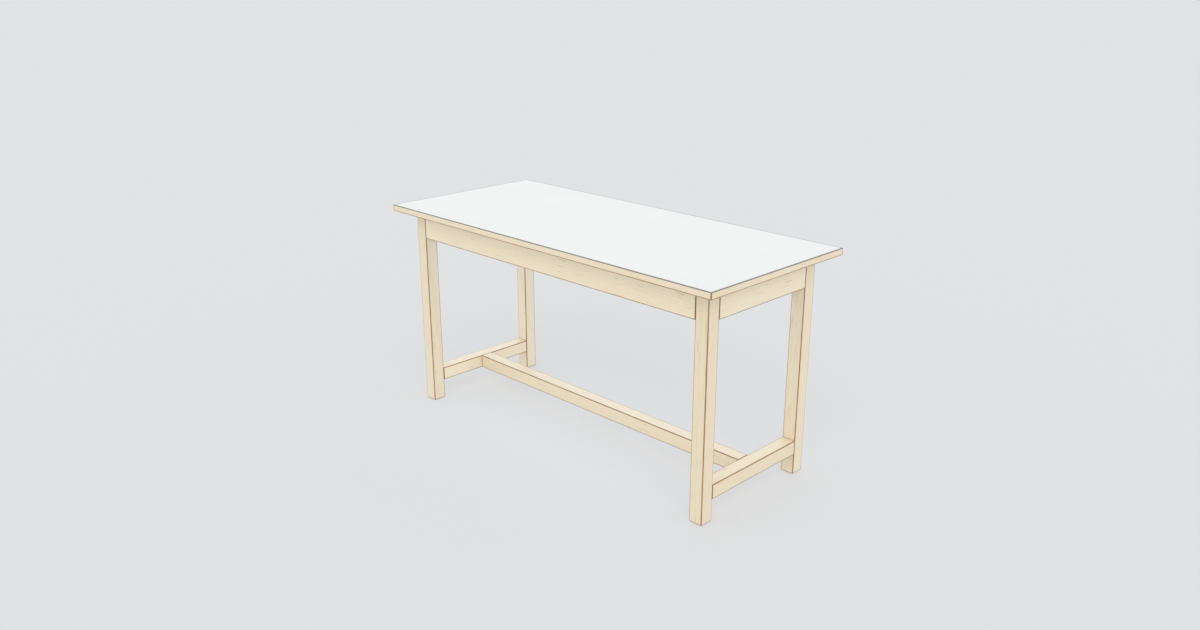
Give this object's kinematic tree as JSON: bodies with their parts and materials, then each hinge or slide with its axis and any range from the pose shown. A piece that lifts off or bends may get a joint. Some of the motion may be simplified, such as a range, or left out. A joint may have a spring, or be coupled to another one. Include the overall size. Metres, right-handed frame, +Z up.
{
  "type": "workbench",
  "caption": "Free-standing wooden workbench: white laminate top with wood edges on a square-legged birch frame with flush rails and an H-shaped stretcher near the floor.",
  "frame": {"origin": "on the floor, under the middle of the top", "axes": "+X along the bench's length, +Y from its front to its back, +Z up"},
  "size_m": [1.85, 0.8, 0.95],
  "materials": {
    "white_laminate": "white compact laminate, fine matt texture",
    "backing_laminate": "plain grey-white backing laminate",
    "core_board": "birch plywood, not finished",
    "birch": "solid birch, clear matt lacquer",
    "beech_dowel": "plain beech",
    "zinc_plated_steel": "bright zinc plate",
    "glide_plastic": "moulded dark grey polyamide"
  },
  "bodies": {
    "root": {"back_left_bracket": "zinc_plated_steel", "back_left_corner_block": "birch", "back_left_glide": "glide_plastic", "back_left_leg": "birch", "back_lipping": "birch", "back_rail": "birch", "back_rail_dowels": "beech_dowel", "back_right_bracket": "zinc_plated_steel", "back_right_corner_block": "birch", "back_right_glide": "glide_plastic", "back_right_leg": "birch", "bracket_rail_screws": "zinc_plated_steel", "bracket_top_screws": "zinc_plated_steel", "corner_block_rail_screws": "zinc_plated_steel", "corner_block_top_screws": "zinc_plated_steel", "front_left_bracket": "zinc_plated_steel", "front_left_corner_block": "birch", "front_left_glide": "glide_plastic", "front_left_leg": "birch", "front_lipping": "birch", "front_rail": "birch", "front_rail_dowels": "beech_dowel", "front_right_bracket": "zinc_plated_steel", "front_right_corner_block": "birch", "front_right_glide": "glide_plastic", "front_right_leg": "birch", "left_bracket": "zinc_plated_steel", "left_lipping": "birch", "left_rail": "birch", "left_rail_dowels": "beech_dowel", "left_stretcher": "birch", "left_stretcher_dowels": "beech_dowel", "long_stretcher": "birch", "long_stretcher_dowels": "beech_dowel", "right_bracket": "zinc_plated_steel", "right_lipping": "birch", "right_rail": "birch", "right_rail_dowels": "beech_dowel", "right_stretcher": "birch", "right_stretcher_dowels": "beech_dowel", "top_backing_sheet": "backing_laminate", "top_core": "core_board", "work_surface": "white_laminate"}
  },
  "joints": []
}
